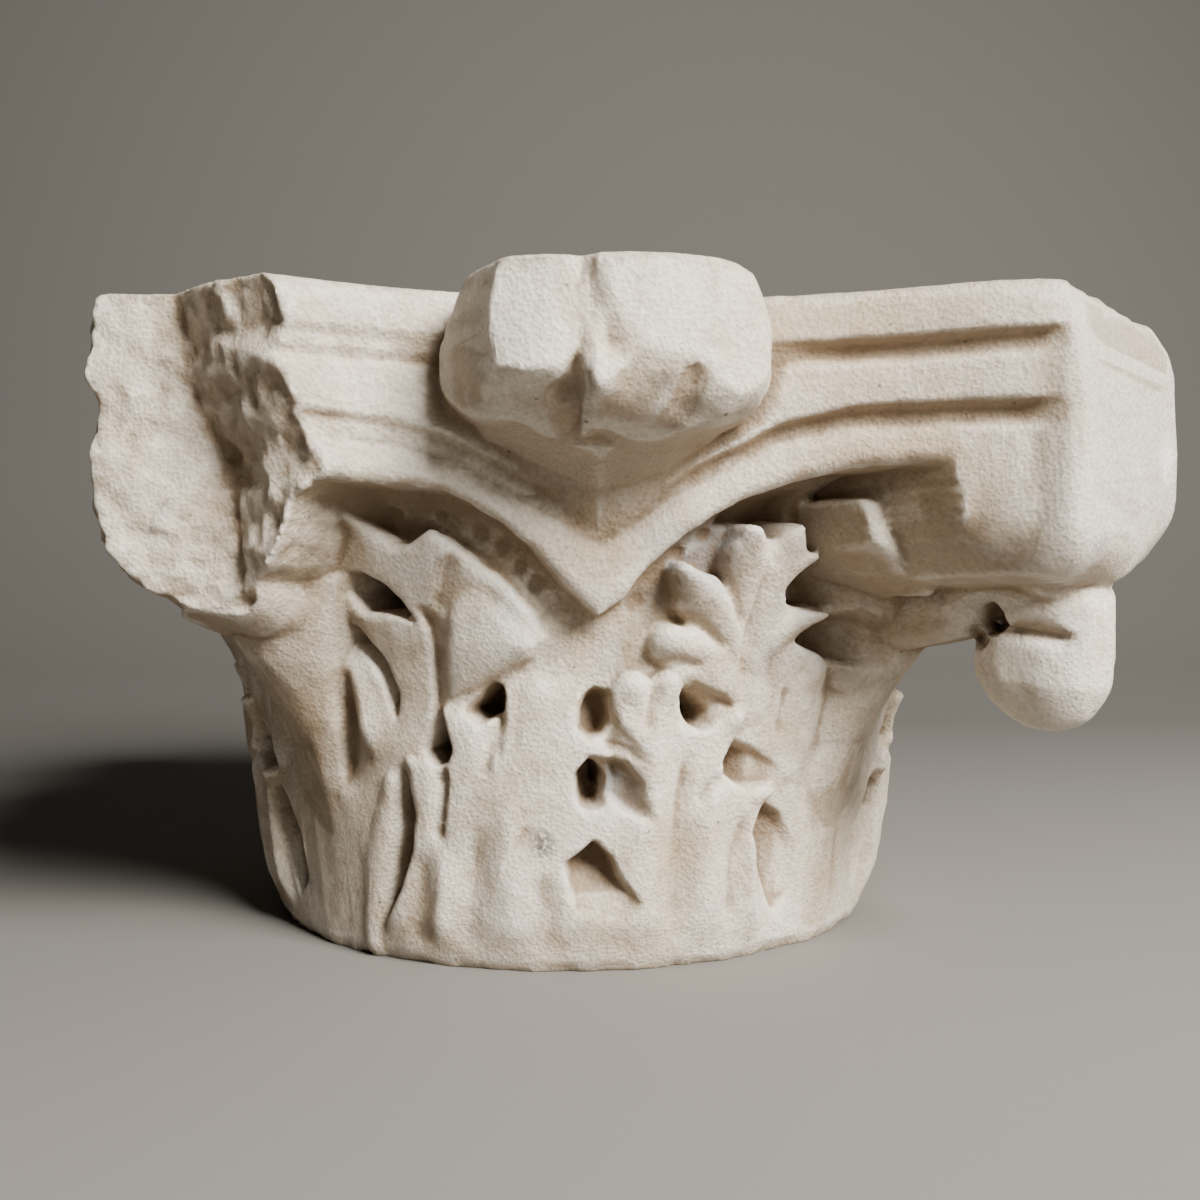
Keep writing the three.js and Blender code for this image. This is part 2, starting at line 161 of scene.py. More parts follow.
# The lower row of acanthus leaves: two to a side, worn and joined across the middle, where the carver
# left bridges of stone between his drill holes.
def lower_right(side):
    """The right lower leaf: a plate off the bell, three knobs on its rim, and furrows between ribs."""
    side.plate(
        lambda z: bell_face(z) + 2.4 * eased(z, 1.0, 16.0),
        [
            (-2, -9), (56, -9), (55, 2), (52.5, 16), (49, 28.5), (46, 37), (47.2, 41.5), (49.7, 44.7),
            (51, 48), (48.5, 49.8), (45.7, 50.4), (41.5, 50.5), (37, 53.5), (35, 57.5), (37, 62.5),
            (39.5, 66), (40, 68.5), (37.5, 71), (34, 71.6), (31.5, 69), (23, 68), (21.5, 80), (16, 81.5),
            (11, 80), (8, 60), (-2, 30),
        ],
        3.0,
    )
    side.lobe(bell_face, [(36, 43), (43, 46), (49.5, 48.4)], [9, 5, 2.2], lift=1.8, droop=4, tip=3.0)
    side.lobe(bell_face, [(28, 54), (33.5, 63), (37.4, 69.4)], [7.5, 4.8, 2.6], lift=1.8, droop=4, tip=3.2)
    side.lobe(bell_face, [(17, 62), (18.5, 72), (18.6, 79.5)], [6, 5, 3.2], lift=2.0, droop=4, tip=2.4)
    side.groove([(44, 57), (38, 55), (31, 51), (27, 45)], [1.6, 2.0, 2.4, 2.0], 1.8)
    side.groove([(16.5, 76), (15, 56), (13, 30), (12, 2)], [4, 6, 8, 9], -2.0)
    side.groove([(25, 64), (23, 46), (23, 26), (24, 4)], [2.5, 3.5, 5, 6], 2.4)
    side.groove([(38, 66), (32, 50), (32, 30), (33, 4)], [2.5, 4, 5, 6], -1.8)
    side.groove([(43, 44), (40, 30), (41, 8)], [2.5, 3.5, 5], 1.6)
    side.groove([(48, 47), (45.5, 38), (47, 22), (50, 4)], [2, 2.5, 3, 3.5], -1.3)


def lower_middle(side):
    """Where the two lower leaves meet: a knob, the edges of the fold below it, and deep holes."""
    side.plate(
        lambda z: bell_face(z) + 3.6,
        [(4, 78), (4.5, 71.5), (7, 67.5), (12.6, 61), (15, 66), (14, 80), (10, 81.5), (6, 80.5)], 2.6,
    )
    side.lobe(bell_face, [(10, 62), (9.6, 71), (9, 78.5)], [5.5, 5, 3.4], lift=2.6, droop=4, tip=2.6)
    side.groove([(13.6, 83), (13.8, 75), (13.2, 66)], [1.7, 1.7, 1.5], 2.2)
    side.flank([(4.0, 70), (8, 65.5), (13.5, 59.5)], 5, -1.6)
    side.flank([(15, 58), (7, 63.8), (1.5, 65.2), (-5, 67)], 5, 1.8)
    side.cut(
        [(-4.4, 67.5), (-4.2, 73), (-2.7, 76), (0, 78), (3.4, 77), (4, 69.6), (1.5, 65.3), (-1.6, 64.8)],
        9.0, 1.8,
    )
    side.cut(
        [
            (-1.5, 59.4), (2, 56.4), (3.3, 53.4), (2.9, 47.5), (1.2, 45.7), (-1.5, 45.4), (-3.8, 46.4),
            (-4.5, 50.8), (-4.6, 55),
        ],
        18.0,
        1.4,
    )
    side.cut(
        [(-1, 60), (9, 57.8), (12.8, 53), (13, 49), (16.5, 42), (12.6, 42.5), (6, 47.5), (-1, 51)],
        through(side.s, (0, 8), (8, 6), (13, 3), (17, 0)), 2.0,
    )
    side.cut(
        [(0.2, 37), (4.6, 32.8), (7, 27.4), (13, 20), (8, 14), (-5, 18), (-7.5, 31)],
        through(Z, (14, 0), (22, 2.5), (30, 9), (37, 12)), 1.6,
    )


def lower_left(side):
    """The left lower leaf: a plate that dies out upwards, worn knobs, folds, furrows and holes."""
    side.plate(
        lambda z: bell_face(z) + 2.4 * eased(z, 1.0, 16.0) * (1.0 - eased(z, 64.0, 84.0)),
        [
            (-66, -9), (-66, 6.5), (-63.3, 10), (-56.8, 21), (-51.7, 32.6), (-50, 44), (-50.6, 50),
            (-50.5, 56), (-46, 59), (-40, 60), (-40.2, 72), (-30, 75), (-22, 82), (-12, 86), (-4, 84),
            (4, 60), (12, 40), (16, -9),
        ],
        3.0,
    )
    side.lobe(bell_face, [(-42, 38), (-45, 50), (-49.5, 57)], [6, 4.5, 2.4], lift=1.8, droop=3.5)
    side.lobe(bell_face, [(-30, 56), (-34, 65), (-38.5, 71)], [6, 4.4, 2.6], lift=2.0, droop=3.5)
    side.lobe(bell_face, [(-17, 66), (-14, 76)], [8, 7], lift=2.0, droop=4)
    side.flank([(-41.2, 34), (-38.6, 47.4), (-38.0, 58)], 6, 4.2)
    side.flank([(-27, 53), (-25.3, 61.4), (-24.9, 71)], 5.5, 2.8)
    side.flank([(-18, 42), (-19.7, 39.8), (-22.6, 34.3), (-25.5, 26)], 8, 1.4)
    side.flank([(-50, 14), (-52.5, 30), (-50.5, 43)], 3.5, -0.1)
    side.groove([(-19, 72), (-21, 60)], [1.4, 1.8], 0.8)
    side.groove([(-47, 34), (-49, 20), (-52, 4)], [4, 5, 6], 1.4)
    side.groove([(-40, 34), (-42, 20), (-45, 3)], [3, 4, 5], -1.3)
    side.groove([(-30, 44), (-33, 22), (-36, 4)], [4, 5, 6], 1.6)
    side.groove([(-24, 52), (-22, 32), (-24, 3)], [4, 6, 7], -1.4)
    side.groove([(-14, 30), (-12, 16), (-13, 2)], [4, 5, 6], 1.2)
    side.cut(
        [
            (-40.2, 72), (-38.4, 67), (-37.2, 61), (-38.2, 58), (-42, 56.8), (-45.6, 60.5), (-45.5, 65.7),
            (-42, 70.2),
        ],
        20.0,
        1.5,
    )
    side.cut(
        [(-33.3, 72), (-25.8, 79.4), (-23.4, 78.2), (-23, 75), (-25, 70.6), (-29.5, 68.7), (-32.7, 70.8)],
        20.0, 1.5,
    )
    side.cut(
        [(-23.2, 76), (-22.6, 69.6), (-24.2, 59), (-25.6, 61), (-25.6, 65.5), (-25.2, 72)],
        through(Z, (58, 0.5), (66, 3), (74, 9)), 2.2,
    )


# The upper row: leaves that stand behind the lower ones and curl out under the lip of the bell. The
# right one kept its knobbed lobes, and the left one is worn to a smooth dome.
def leaf_face(z):
    """How far the upper leaves reach from the axis at a height: they lean out as they rise."""
    return through(
        z, (0, 99), (40, 104), (60, 107), (75, 109.5), (85, 112.5), (95, 116.5), (105, 121), (115, 125.5),
        (125, 129), (176, 131),
    )


def upper_right(side):
    """The right upper leaf: a plate with knobs that curl over its rim, and furrows between them."""
    side.plate(
        leaf_face,
        [
            (34, 30), (34, 58), (38.5, 74), (30, 79), (24, 82), (20, 88), (23, 96), (30, 96), (31, 106),
            (31, 115), (37, 118), (45, 117), (51, 112), (48, 108), (45.5, 104), (47.7, 101), (52.7, 99),
            (62, 97.4), (58.6, 93.5), (55, 90), (62.5, 87.5), (70, 83), (76, 72), (74, 30),
        ],
        3.5,
    )
    side.lobe(
        leaf_face, [(41, 92), (38, 104), (34.5, 114), (33.5, 118.5)], [9, 7.5, 5, 2.4], lift=1.4, droop=5,
        tip=2.6,
    )
    side.lobe(
        leaf_face, [(41, 92), (43, 103), (44.5, 113), (44, 119.5)], [8, 7.5, 5.5, 2.6], lift=1.2, droop=5,
        tip=2.4,
    )
    side.lobe(leaf_face, [(43, 104), (48, 110), (51, 112.4)], [6, 4, 2], lift=1.4, droop=4, tip=0.8)
    side.lobe(
        leaf_face, [(40, 84), (31, 94), (24.5, 102), (18.6, 108.4)], [9, 7.5, 6.2, 2.2], lift=1.6,
        droop=5.5, tip=3.6,
    )
    side.lobe(
        leaf_face, [(41, 74), (32, 81.5), (24.5, 86), (17.5, 90)], [11, 10, 9, 5.0], lift=1.8, droop=5.5,
        tip=3.4,
    )
    side.groove([(14, 86), (20, 85), (28, 83)], [1.8, 2.0, 1.6], 1.5)
    side.groove([(40, 114), (38, 105), (37.2, 96), (37.4, 87), (39.2, 72)], [1.3, 1.3, 1.4, 1.4, 1.3], 1.7)
    side.lobe(leaf_face, [(44, 90), (52, 95), (60, 97.6)], [7, 4.6, 2.2], lift=1.6, droop=4, tip=1.5)
    side.lobe(leaf_face, [(57, 56), (62, 72), (63, 81)], [10, 11, 7], lift=1.4, droop=5)
    side.flank([(38.4, 109), (37.4, 102.8), (37.6, 92.7), (38, 85), (39.5, 73)], 4.5, 1.6)
    side.groove([(27, 112), (30, 106), (33, 99), (36, 93)], [2.0, 1.8, 1.4, 1.2], 2.0)
    side.groove([(17, 99), (23, 96), (29, 91), (33, 88)], [2.0, 1.8, 1.4, 1.2], 2.0)
    side.flank([(51.5, 62), (52.1, 72), (52.8, 78)][::-1], 4.5, 2.0)


def drilled_right(side):
    """The holes and hollows round the right leaves, each deepest where the drill went in."""
    side.cut(
        [
            (22.7, 78), (25.2, 77), (28.5, 75), (31.5, 71.3), (31.2, 67.8), (28.3, 66.5), (25.2, 67.8),
            (22.2, 72.3), (21.8, 76.3),
        ],
        15.0,
        1.5,
    )
    side.cut(
        [(25, 79), (34, 75.5), (39.5, 71), (34, 72), (30.5, 68), (24, 74)],
        through(side.s, (25, 7), (34, 4), (40, 1)), 1.6,
    )
    side.cut(
        [(34.8, 57.4), (37.2, 53.6), (41.6, 50.8), (46, 50), (52, 50), (55, 54), (46, 60), (38, 63)],
        through(side.s, (34, 15), (40, 12), (46, 4), (55, 0)), 1.6,
    )
    side.cut(
        [(47.4, 42.3), (51, 44.5), (57, 41), (64, 32), (66, 18), (58, 12), (52.5, 24), (47, 36)],
        through(side.s, (46, 8), (52, 6.5), (60, 2.5), (66, 0)), 2.2,
    )
    side.cut(
        [
            (45.8, 104), (48.2, 107.2), (51, 110), (54, 111), (58, 108.7), (66, 100), (62, 97.6),
            (52.7, 99.2), (47.7, 101.4),
        ],
        through(side.s, (46, 26), (53, 20), (58, 9), (66, 1)),
        1.6,
    )
    side.cut(
        [(55, 90.2), (57.9, 94.1), (62, 96.8), (68, 98), (77, 92), (77.6, 82), (70.4, 83.2), (63, 87.4)],
        through(side.s, (54, 16), (60, 12), (68, 7), (77, 0)), 2.0,
    )
    side.cut([(28, 121), (29, 128), (36, 130.5), (47, 130.5), (47, 123), (43, 120), (36, 121)], 8.0, 3.0)


def upper_left(side):
    """The left upper leaf: a worn dome, face + 3.2 - 0.012 (z - 88)^2, with folds and deep slits."""
    side.plate(
        leaf_face,
        [
            (-84, 40), (-84, 118), (-66, 121), (-62, 128), (-56, 126), (-49, 119), (-45, 115.5), (-41, 116),
            (-37, 119), (-33, 117), (-28, 112), (-20, 105), (-15, 98), (-12, 91), (-14.5, 87), (-20, 83),
            (-28, 78), (-35, 74.5), (-40, 72.5), (-43, 66), (-47, 58), (-50, 46),
        ],
        3.0,
    )
    side.plate(
        lambda z: leaf_face(z) + 3.2 - 0.012 * (z - 88.0) ** 2,
        [
            (-36, 96), (-34, 108), (-29, 110), (-23.5, 104), (-18, 97), (-13.5, 90), (-15, 86),
            (-20.5, 82.6), (-25, 79.8), (-29.5, 76.8), (-34.5, 74.4), (-39, 72.8), (-38, 84),
        ],
        5.0,
    )
    side.flank([(-43, 100), (-41.6, 95), (-41.2, 87.5), (-42.3, 74.5), (-45, 63)], 5.5, 4.2)
    side.flank([(-32, 115), (-35.4, 108.4), (-37.1, 103.8), (-40, 98)], 8, 1.7)
    side.flank([(-63, 99), (-66.2, 93), (-69.4, 84.7), (-72, 73.4), (-74.4, 56), (-76, 44)], 12, 4.2)
    side.cut(
        [
            (-58, 108.5), (-55, 108.5), (-49.8, 104.6), (-46.8, 101.3), (-43.5, 95.3), (-51.3, 98),
            (-57, 98.2), (-59, 100.7), (-60.2, 104),
        ],
        through(side.s, (-60, 8), (-56.5, 24), (-51, 24), (-47, 9), (-43, 3)),
        1.6,
    )
    side.cut(
        [
            (-64, 96), (-59.7, 92.2), (-56.2, 87.3), (-53.8, 82.4), (-52.4, 76.9), (-53.5, 68),
            (-55.2, 71.3), (-55.8, 77.4), (-57.6, 82.5), (-60.5, 86.5), (-63.5, 89.5), (-65.2, 92),
            (-65.4, 94.5),
        ],
        through(Z, (68, 3), (76, 6), (84, 10), (93, 15)),
        1.6,
    )
    side.cut(
        [
            (-53.1, 55.5), (-51, 49.4), (-50, 43.9), (-51.6, 32.6), (-56.8, 20.6), (-63.3, 9.7),
            (-66.2, 5.5), (-64.8, 12.7), (-61.2, 23.2), (-57.8, 34.9), (-55.3, 46.3),
        ],
        through(Z, (5, 2), (20, 5), (40, 11), (50, 13), (56, 9)),
        1.5,
    )
    side.groove([(-66, 90), (-64.6, 80), (-63, 70), (-62, 56)], [3, 5.5, 5.5, 3.5], -3.4)
    side.lobe(
        leaf_face, [(-57, 52), (-60.5, 40), (-65.5, 26), (-68.5, 10), (-69, -6)], [3, 5, 6, 5, 4], lift=1.4,
        droop=4,
    )


# The plain corner leaves: smooth and broad at the foot, they stand at the four corners of the bell and
# run up into the arms of the volutes, carved from the same block.
CORNER_TOP = 129.0
CORNER_DROP = 24.0


def corner_ridge(z):
    """How far the ridge of a corner leaf reaches from the axis at a height."""
    return through(
        z, (0, 99.5), (25, 101.5), (45, 105.5), (60, 112), (73, 121.5), (86, 131), (97, 138), (107, 142),
        (114, 140), (121, 134), (129, 127),
    )


def corner_leaf(side, edge, fall, crisp):
    """Half a leaf falls away from the ridge at the corner to its edge, a line of girths given with heights,
    as ridge - fall * share^2, and drops to the bell over the crisp width beyond it."""
    from_corner = GIRTH * np.pi / 4 - side.s
    width = GIRTH * np.pi / 4 - through(Z, *edge)
    share = np.clip(from_corner / width, 0.0, None)
    top = corner_ridge(Z) - through(Z, *fall) * np.minimum(share, 1.0) ** 2
    top = top - CORNER_DROP * np.clip((from_corner - width) / crisp, 0.0, 1.0) ** 1.3
    use = (from_corner < width + crisp) & (Z < CORNER_TOP) & (side.s > 0)
    side.r = np.where(use, np.maximum(side.r, top), side.r)


RIGHT_EDGE = [(0, 58), (12, 58), (30, 62), (45, 58), (60, 66), (75, 70), (90, 67), (104, 63), (128, 66)]
RIGHT_FALL = [(0, 2), (45, 3), (60, 8), (86, 18), (97, 22), (110, 24), (128, 24)]
LEFT_EDGE = [
    (0, 70), (25, 72), (40, 74), (48, 75.5), (56, 74.4), (73.4, 71), (84.7, 67.6), (93, 65), (101, 62.5),
    (110, 60), (128, 62),
]
LEFT_FALL = [(0, 1), (45, 2), (60, 3), (73, 6), (86, 10), (97, 14), (110, 18), (128, 22)]


# The abacus: a square slab with hollow sides, and under it the lip of the bell, which swags down to a
# point in the middle of each side. Two furrows part its bands, deep on the right and worn on the left.
FACE_MID = 129.0
HOLLOW = 0.003
HORN_REACH = 190.0
HORN_ROUND = 20.0
LIP_TOP = [
    (-70, 140.5), (-49, 139), (-37, 135.5), (-25, 129.5), (-12, 123), (0, 117), (11, 121), (25, 129.5),
    (45, 139.5), (61, 143), (83, 143), (110, 142),
]
LIP_LOW = [
    (-134, 103.5), (-112, 106), (-100, 110), (-90, 116), (-80, 126), (-70, 129.5), (-49, 129), (-40, 128),
    (-34, 125.5), (-25, 120.5), (-15, 112), (-7, 103), (0, 97), (7, 101.5), (13, 109.5), (23, 118),
    (36, 125.5), (50, 130.5), (64, 133.5), (83, 134), (87, 121), (92, 116), (98, 112), (106, 107),
    (115, 105), (134, 103.5),
]


def hollow_side(angle, inset):
    """How far the hollow side reaches at an angle: r where r cos a = F - inset + HOLLOW (r sin a)^2, and no
    further than the cut end of the horn, with the edge between them worn round."""
    quad = HOLLOW * np.sin(angle) ** 2
    middle = FACE_MID - inset
    root = np.sqrt(np.maximum(np.cos(angle) ** 2 - 4.0 * quad * middle, 0.0))
    reach = 2.0 * middle / (np.cos(angle) + root)
    horn = (HORN_REACH - 7.0 * np.exp(-(HEIGHT - Z) / 7.0)) / np.cos(np.pi / 4 - np.abs(angle))
    blend = np.maximum(1.0 - np.abs(reach - horn) / HORN_ROUND, 0.0)
    return np.minimum(reach, horn) - blend**2 * HORN_ROUND / 4.0


def abacus(side, worn_left):
    """The slab above the low line of the lip: the hollow side drawn in by two furrows, by the bands behind
    them, by the roll of the lip as 2.5 u^3 away from its middle and by the worn top edge, with a foot
    rounded as a quarter circle at the horns. Below the line a cove of 0.5 c^2.2 leads back to the bell."""
    angle = side.s / GIRTH
    x = hollow_side(angle, 4.0) * np.sin(angle)
    top = through(x, *LIP_TOP) if worn_left else through(np.abs(x), *LIP_TOP)
    low = through(x, *LIP_LOW) if worn_left else through(np.abs(x), *LIP_LOW)
    if not worn_left:
        low = low + through(np.abs(x), (84, 0), (88, 5), (100, 9), (106, 11), (112, 8), (120, 4), (134, 0))
    keen = eased(x, -30.0, 30.0) if worn_left else np.ones_like(x)
    ends = 1.0 - eased(np.abs(x), 100.0, 104.0)
    sunk = 1.6 + 3.0 * keen * eased(np.abs(x), 38.0, 60.0)
    furrow_1 = sunk * np.exp(-(((Z - 161.5) / (3.2 - 0.8 * keen)) ** 4))
    furrow_2 = (2.2 + 2.2 * keen) * np.exp(-(((Z - top - 2.6) / 2.6) ** 4))
    behind = 2.5 * (1.0 - eased(Z, 158.0, 161.0)) + 2.0 * (1.0 - eased(Z, top - 0.5, top + 2.0))
    middle = (top + low) / 2.0
    roll = 2.5 * np.clip(np.abs(Z - middle) / (top - low) * 2.0, 0.0, 1.2) ** 3
    roll = np.where(Z < middle, roll, 0.5 * roll) * (Z < top) * (np.abs(x) < 84.0)
    foot = np.clip(1.0 - (Z - low) / 13.0, 0.0, 0.97) * eased(np.abs(x), 82.0, 92.0)
    wear = 2.2 * np.exp(-(HEIGHT - Z) / 1.6)
    inset = ends * (furrow_1 + furrow_2 + behind) + roll + wear
    slab = hollow_side(angle, inset) - 13.0 * (1.0 - np.sqrt(1.0 - foot**2))
    lip = hollow_side(angle, 8.0)
    cove = np.clip(1.0 - (low - Z) / 10.0, 0.0, 1.0) * (1.0 - eased(np.abs(x), 78.0, 88.0))
    under = side.r + (np.maximum(lip - 3.0, side.r) - side.r) * 0.5 * cove**2.2
    side.r = np.where(Z >= low, np.maximum(slab, side.r), np.maximum(side.r, under))


# The boss in the middle of each side: a loaf of stone, once carved as a flower, worn to blunt facets.
# Below it the stone runs back in a three-cornered panel to the point of the lip.
BOSS_MIDDLE = 157.0
BOSS_ROOT = 130.0
BOSS_LOW = [(-40, 148), (-33, 144), (-20, 140), (-3, 136.5), (19, 138), (33, 144), (40, 150)]


def boss_panel(side, reach):
    """The panel under the boss: t runs from 0 at the lip to 1 at the boss, and the stone stands forward by a
    share of t that is steepest in its middle, fading out to both sides."""
    angle = side.s / GIRTH
    x = 158.0 * np.tan(angle)
    low = through(x, *BOSS_LOW)
    top = through(x, *LIP_TOP)
    t = np.clip((Z - top) / (low + 4.0 - top), 0.0, 1.0)
    share = through(t, (0, 0.03), (0.45, 0.32), (0.7, 0.72), (0.8, 0.95), (0.9, 1), (1, 1))
    panel = 122.0 + (reach - 142.0) * share
    side_fade = 1.0 - eased(np.abs(x), 34.0, 42.0)
    inside = (Z > top) & (Z < low + 6.0) & (np.abs(x) < 42.0)
    panel_r = (118.0 + (panel - 118.0) * side_fade) / np.cos(angle)
    side.r = np.where(inside, np.maximum(side.r, panel_r), side.r)


BOSS_OUTLINE = [
    (38.5, 149), (39, 158), (37, 167), (31, 180), (20, 190), (0, 193), (-18, 190), (-28, 180), (-35, 168),
    (-38.5, 158), (-39, 151), (-34, 145), (-20, 141.5), (-3, 139), (19, 140), (33, 144),
]


def boss_body(reach, carved, turn):
    """A closed loaf of rings round its middle, each the outline drawn in by q, whose front stands at
    root + (reach - root) * (1 - q^4.5)^0.3. Planes are cut off it, and the carved one has creases."""
    outline = np.array(BOSS_OUTLINE, float) - [0.0, BOSS_MIDDLE]
    bearing = np.arctan2(outline[:, 1], outline[:, 0])
    order = np.argsort(bearing)
    bearing, far = bearing[order], np.hypot(outline[:, 0], outline[:, 1])[order]
    theta = np.linspace(-np.pi, np.pi, 180, endpoint=False)
    radius = np.interp(theta, bearing, far, period=2.0 * np.pi)
    radius = sum(np.roll(radius, k) for k in range(-3, 4)) / 7.0
    q = np.concatenate([np.ones(6), np.sin(np.linspace(np.pi / 2, 0.03, 90))])[:, None]
    x, z = q * radius * np.cos(theta), BOSS_MIDDLE + q * radius * np.sin(theta)
    front = BOSS_ROOT + (reach - BOSS_ROOT) * (1.0 - q**4.5) ** 0.3
    front = np.minimum(front, reach - 0.011 * (x - 4.0) ** 2 * (x > 4.0))
    front = np.minimum(front, reach - 27.0 + 2.1 * (x + 37.0 - 0.012 * (z - 161.0) ** 2))
    front = np.minimum(front, reach - 0.8 * (0.8 * (z - 168.0) - 0.6 * (x + 22.0)))
    if carved:
        under_left = reach - 2.5 - 1.5 * np.maximum(151.5 - z, 0.0) - 0.15 * np.maximum(-6.0 - x, 0.0)
        under_right = reach - 1.0 - 0.04 * np.maximum(158.0 - z, 0.0) ** 2
        front = np.minimum(front, np.where(x < -6.0, under_left, under_right))
        wedge = np.clip(1.0 - np.abs(x + 2.0 - 0.3 * (z - 149.0)) / 6.0, 0.0, 1.0)
        wedge = wedge * eased(z, 142.0, 147.0) * (1.0 - eased(z, 151.0, 157.0))
        front = np.minimum(front + 4.5 * wedge * (x > -6.5), reach - 1.0)
        notch = np.clip(0.32 * (157.0 - z), 0.5, 4.0)
        front = front - 3.6 * np.exp(-(((x + 7.0 + notch) / notch) ** 4) - ((z - 150.5) / 5.0) ** 4)
        valley = through(z, (150, 1.5), (158, -0.6), (166, -4), (176, -6.4))
        front = front - 1.7 * np.exp(-np.abs((x - valley) / 3.4) ** 1.6) * eased(z, 152.0, 158.0)
        crease = ((x - 16.5 - (z - 146.0) * 0.55) / 2.8) ** 2 + ((z - 146.5) / 5.5) ** 4
        front = front - 2.6 * np.exp(-crease)
        front = front - 0.12 * np.abs(x + 14.0) * (x < -4.0)
    back = np.linspace(112.0, BOSS_ROOT, 6)[:, None]
    front = np.concatenate([np.broadcast_to(back, (6, theta.size)), front[6:]])
    z = np.minimum(z, HEIGHT - 0.25)
    right, away = x * np.cos(turn) + front * np.sin(turn), x * np.sin(turn) - front * np.cos(turn)
    return np.stack([right, away, z], -1)


# The four sides are carved one after another. The front is as the photograph has it, and the others
# repeat its better half to left and right.
CALYX = [(50, 127), (60, 129), (73, 124), (74, 113), (70, 102), (60, 108), (53, 115)]

front = Side()
lower_left(front)
lower_right(front)
lower_middle(front)
upper_left(front)
upper_right(front)
corner_leaf(front, RIGHT_EDGE, RIGHT_FALL, 9.0)
front.plate(lambda z: 147.0 - 0.2 * (front.s - 50.0) + 0.25 * (118.0 - z), CALYX, 3.5)
drilled_right(front)
corner_leaf(front.mirrored(), LEFT_EDGE, LEFT_FALL, 4.0)
front.mirrored()
abacus(front, worn_left=True)
boss_panel(front, 168.0)

others = Side()
for _ in range(2):
    lower_right(others)
    upper_right(others)
    corner_leaf(others, RIGHT_EDGE, RIGHT_FALL, 9.0)
    others.plate(lambda z: 147.0 - 0.2 * (others.s - 50.0) + 0.25 * (118.0 - z), CALYX, 3.5)
    drilled_right(others)
    others.mirrored()
lower_middle(others)
abacus(others, worn_left=False)
left = Side()
left.r = others.r.copy()
boss_panel(others, 168.0)
boss_panel(left, 147.0)


# The break: the front left horn was knocked off with its volute. A steep face runs back from the
# broken mouldings, and a rough face looks forward over the corner leaf.
def roughness(points, size, seed):
    """Smooth random values from -1 to 1: random numbers on a lattice of the given mesh size, blended between
    the eight nearest by 3t^2 - 2t^3."""
    table = np.random.default_rng(seed).uniform(-1.0, 1.0, 8192)
    q = points / size
    cell = np.floor(q).astype(np.int64)
    t = q - cell
    t = t * t * (3.0 - 2.0 * t)
    total = np.zeros(points.shape[:-1])
    for step in np.ndindex(2, 2, 2):
        x, y, z = np.moveaxis(cell + step, -1, 0)
        weight = np.prod(np.abs(1.0 - np.array(step) - t), axis=-1)
        total += weight * table[(x * 73856093 ^ y * 19349663 ^ z * 83492791) & 8191]
    return total


def broken(points):
    """Pulls in every point that lies beyond the break: in plan the break is a line of straight parts, and
    each point keeps its direction from the axis and stops at the part that it would cross."""
    x, y, z = points[..., 0], points[..., 1], points[..., 2]
    rough = 2.0 * roughness(points, 17.0, 3) + 1.2 * roughness(points, 6.0, 4)
    rough += 0.6 * roughness(points, 2.6, 5)
    mouth = through(
        z, (100, -74), (124, -66), (132, -65), (142, -69), (150, -71), (158, -75), (165, -73), (176, -78),
    )
    bend = through(z, (100, -88), (120, -90), (135, -92), (145, -97), (155, -101), (176, -104))
    deep = through(z, (100, -113), (140, -117), (160, -121), (176, -124))
    edge = through(
        z, (100, -104), (104, -114), (110, -121), (125, -126), (148, -124), (160, -126), (176, -123),
    )
    corners = [
        (mouth + 1.0, np.full_like(z, -190.0)),
        (mouth, -(FACE_MID + HOLLOW * mouth**2) + 1.0),
        (bend, deep),
        (edge, deep + 1.0),
        (edge - 6.0, np.full_like(z, -88.0)),
        (edge - 14.0, np.full_like(z, -55.0)),
        (np.full_like(z, -190.0), np.full_like(z, -48.0)),
    ]
    bearing = np.arctan2(-x, -y)
    reach = np.hypot(x, y)
    limit = np.full_like(z, np.inf)
    for (x0, y0), (x1, y1) in zip(corners, corners[1:]):
        a0, a1 = np.arctan2(-x0, -y0), np.arctan2(-x1, -y1)
        here = (bearing >= a0) & (bearing < a1)
        cross = x0 * y1 - x1 * y0
        along = -np.sin(bearing) * (y1 - y0) + np.cos(bearing) * (x1 - x0)
        limit = np.where(here, cross / np.where(np.abs(along) < 1e-6, 1e-6, along), limit)
    limit = np.abs(limit) + rough
    cut = (z > 88.0) & (reach > limit)
    scale = np.where(cut, limit / np.maximum(reach, 1.0), 1.0)
    return np.stack([x * scale, y * scale, z], -1)


def about_axis(reach, angle, z):
    """Points at a reach from the axis and a height, an angle to the right of the front."""
    return np.stack([reach * np.sin(angle), -reach * np.cos(angle), np.broadcast_to(z, reach.shape)], -1)


turns = np.concatenate([side_angle + k * np.pi / 2 for k in range(4)])
height = level[:, None]
reach = np.concatenate([front.r, others.r, others.r, left.r], axis=1)
shell = about_axis(reach, turns, height)
chips = 1.2 + 1.6 * np.maximum(roughness(shell, 8.0, 7), 0.0) + 0.8 * roughness(shell, 3.0, 8)
reach = reach - chips * np.exp(-((height / 2.4) ** 2))
chips = np.maximum(roughness(shell, 14.0, 9), 0.0) * 2.2 + 0.7 * roughness(shell, 4.0, 10)
reach = reach - chips * np.exp(-(((HEIGHT - height) / 3.0) ** 2))
shell = about_axis(reach, turns, height)
rings = [broken(shell), boss_body(170.0, True, 0.0)]
for boss_reach, turn in [(168.0, np.pi / 2), (168.0, np.pi), (149.0, -np.pi / 2)]:
    rings.append(boss_body(boss_reach, False, turn))


